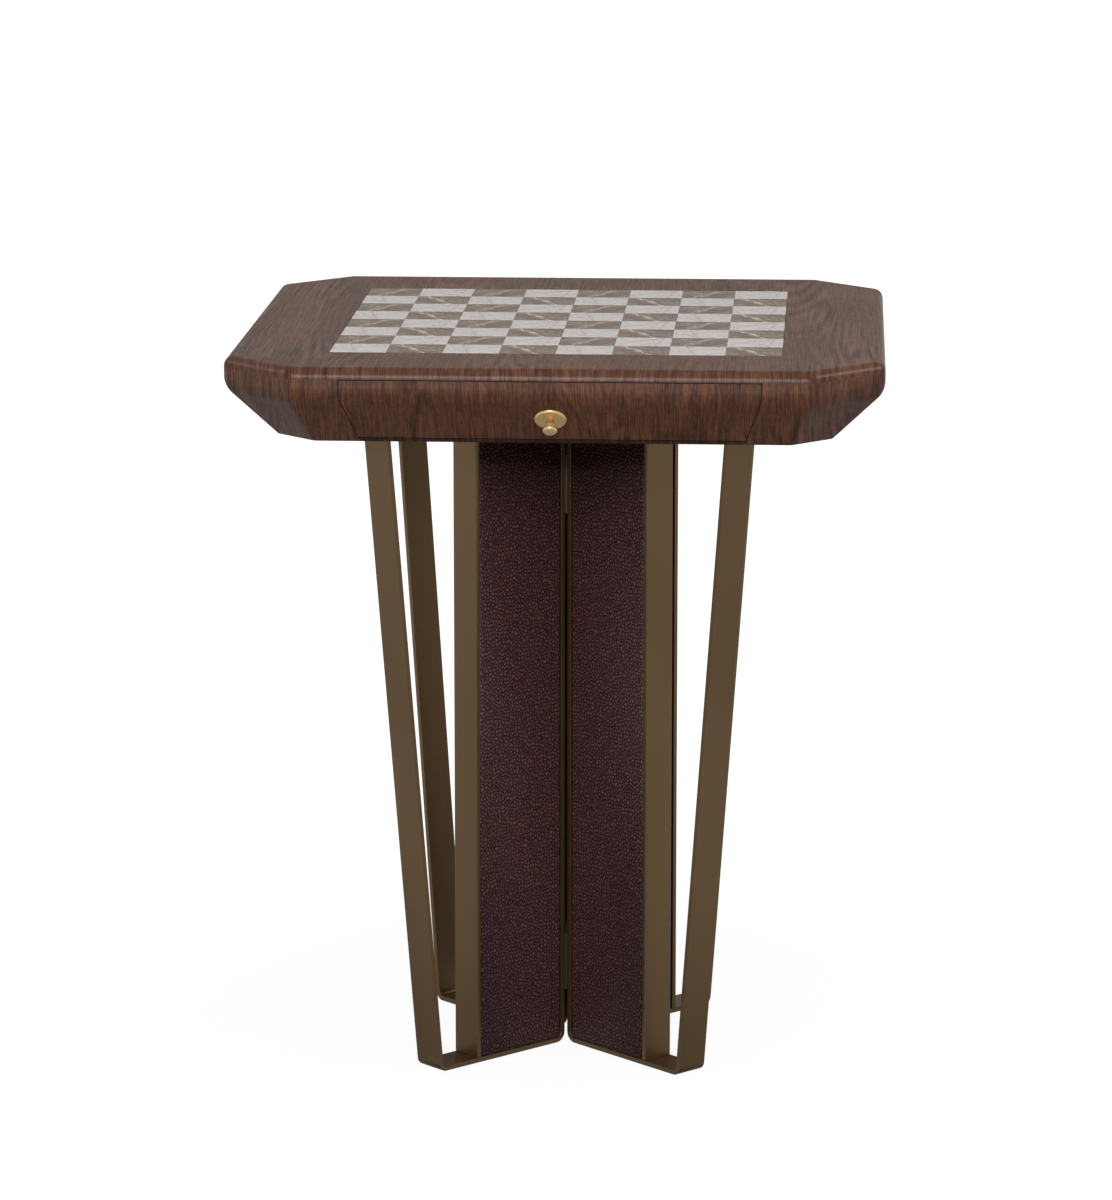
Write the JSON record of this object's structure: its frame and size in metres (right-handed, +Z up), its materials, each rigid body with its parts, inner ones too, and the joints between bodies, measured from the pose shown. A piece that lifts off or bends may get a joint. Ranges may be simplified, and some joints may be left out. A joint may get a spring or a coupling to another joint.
{
  "type": "chess table",
  "caption": "Free-standing octagonal game table with an inlaid stone chessboard, a bevelled wooden case holding a drawer, and a crossed base of metal frames with leather panels.",
  "frame": {"origin": "on the floor under the middle of the top", "axes": "+Z up, -Y the way the drawer opens, +X to the right of someone facing the drawer"},
  "size_m": [0.64, 0.64, 0.75],
  "materials": {
    "walnut": "walnut veneer, satin lacquer",
    "light_stone": "polished warm white marble",
    "dark_stone": "polished grey-brown marble with pale veins",
    "board": "plain board",
    "bronze_metal": "satin bronze",
    "block_metal": "satin dark bronze",
    "leather": "dark burgundy, pebbled grain",
    "brass": "satin brass",
    "steel": "zinc plated",
    "felt": "dark felt",
    "drawer_wood": "clear satin lacquer"
  },
  "bodies": {
    "table": {"apron_back": "walnut", "apron_left": "walnut", "apron_right": "walnut", "base_screws": "steel", "bed_screws": "steel", "block_screws": "steel", "carrier_left": "board", "carrier_right": "board", "case_floor": "board", "cheek_left": "walnut", "cheek_right": "walnut", "corner_back_left": "walnut", "corner_back_right": "walnut", "corner_front_left": "walnut", "corner_front_right": "walnut", "dark_squares": "dark_stone", "floor_screws": "steel", "frame_back_left": "bronze_metal", "frame_back_right": "bronze_metal", "frame_front_left": "bronze_metal", "frame_front_right": "bronze_metal", "front_lipping": "walnut", "inlay_bed": "board", "joining_block_high": "block_metal", "joining_block_low": "block_metal", "leather_back_left": "leather", "leather_back_right": "leather", "leather_front_left": "leather", "leather_front_right": "leather", "light_squares": "light_stone", "panel_core_back_left": "board", "panel_core_back_right": "board", "panel_core_front_left": "board", "panel_core_front_right": "board", "panel_screws": "steel", "runner_case_left": "steel", "runner_case_right": "steel", "runner_screws_case": "steel", "top_panel": "walnut", "upright_back_left": "bronze_metal", "upright_back_right": "bronze_metal", "upright_front_left": "bronze_metal", "upright_front_right": "bronze_metal"},
    "drawer": {"drawer_front": "walnut", "drawer_inner_front": "drawer_wood", "drawer_side_left": "drawer_wood", "drawer_side_right": "drawer_wood", "drawer_back": "drawer_wood", "drawer_bottom": "drawer_wood", "drawer_lining": "felt", "knob_rose": "brass", "knob_button": "brass", "knob_stud": "steel", "runner_drawer_left": "steel", "runner_drawer_right": "steel", "front_screws": "steel", "runner_screws_drawer": "steel"},
    "runner_left": {"runner_middle_left": "steel"},
    "runner_right": {"runner_middle_right": "steel"}
  },
  "joints": [
    {"name": "drawer_slide", "type": "slide", "parent": "table", "child": "drawer", "axis": [0, -1, 0], "range_m": [0, 0.34]},
    {"name": "runner_left_slide", "type": "slide", "parent": "table", "child": "runner_left", "axis": [0, -1, 0], "range_m": [0, 0.17]},
    {"name": "runner_right_slide", "type": "slide", "parent": "table", "child": "runner_right", "axis": [0, -1, 0], "range_m": [0, 0.17]}
  ],
  "couplings": [
    {"joint": "runner_left_slide", "follows": "drawer_slide", "ratio": 0.5},
    {"joint": "runner_right_slide", "follows": "drawer_slide", "ratio": 0.5}
  ]
}
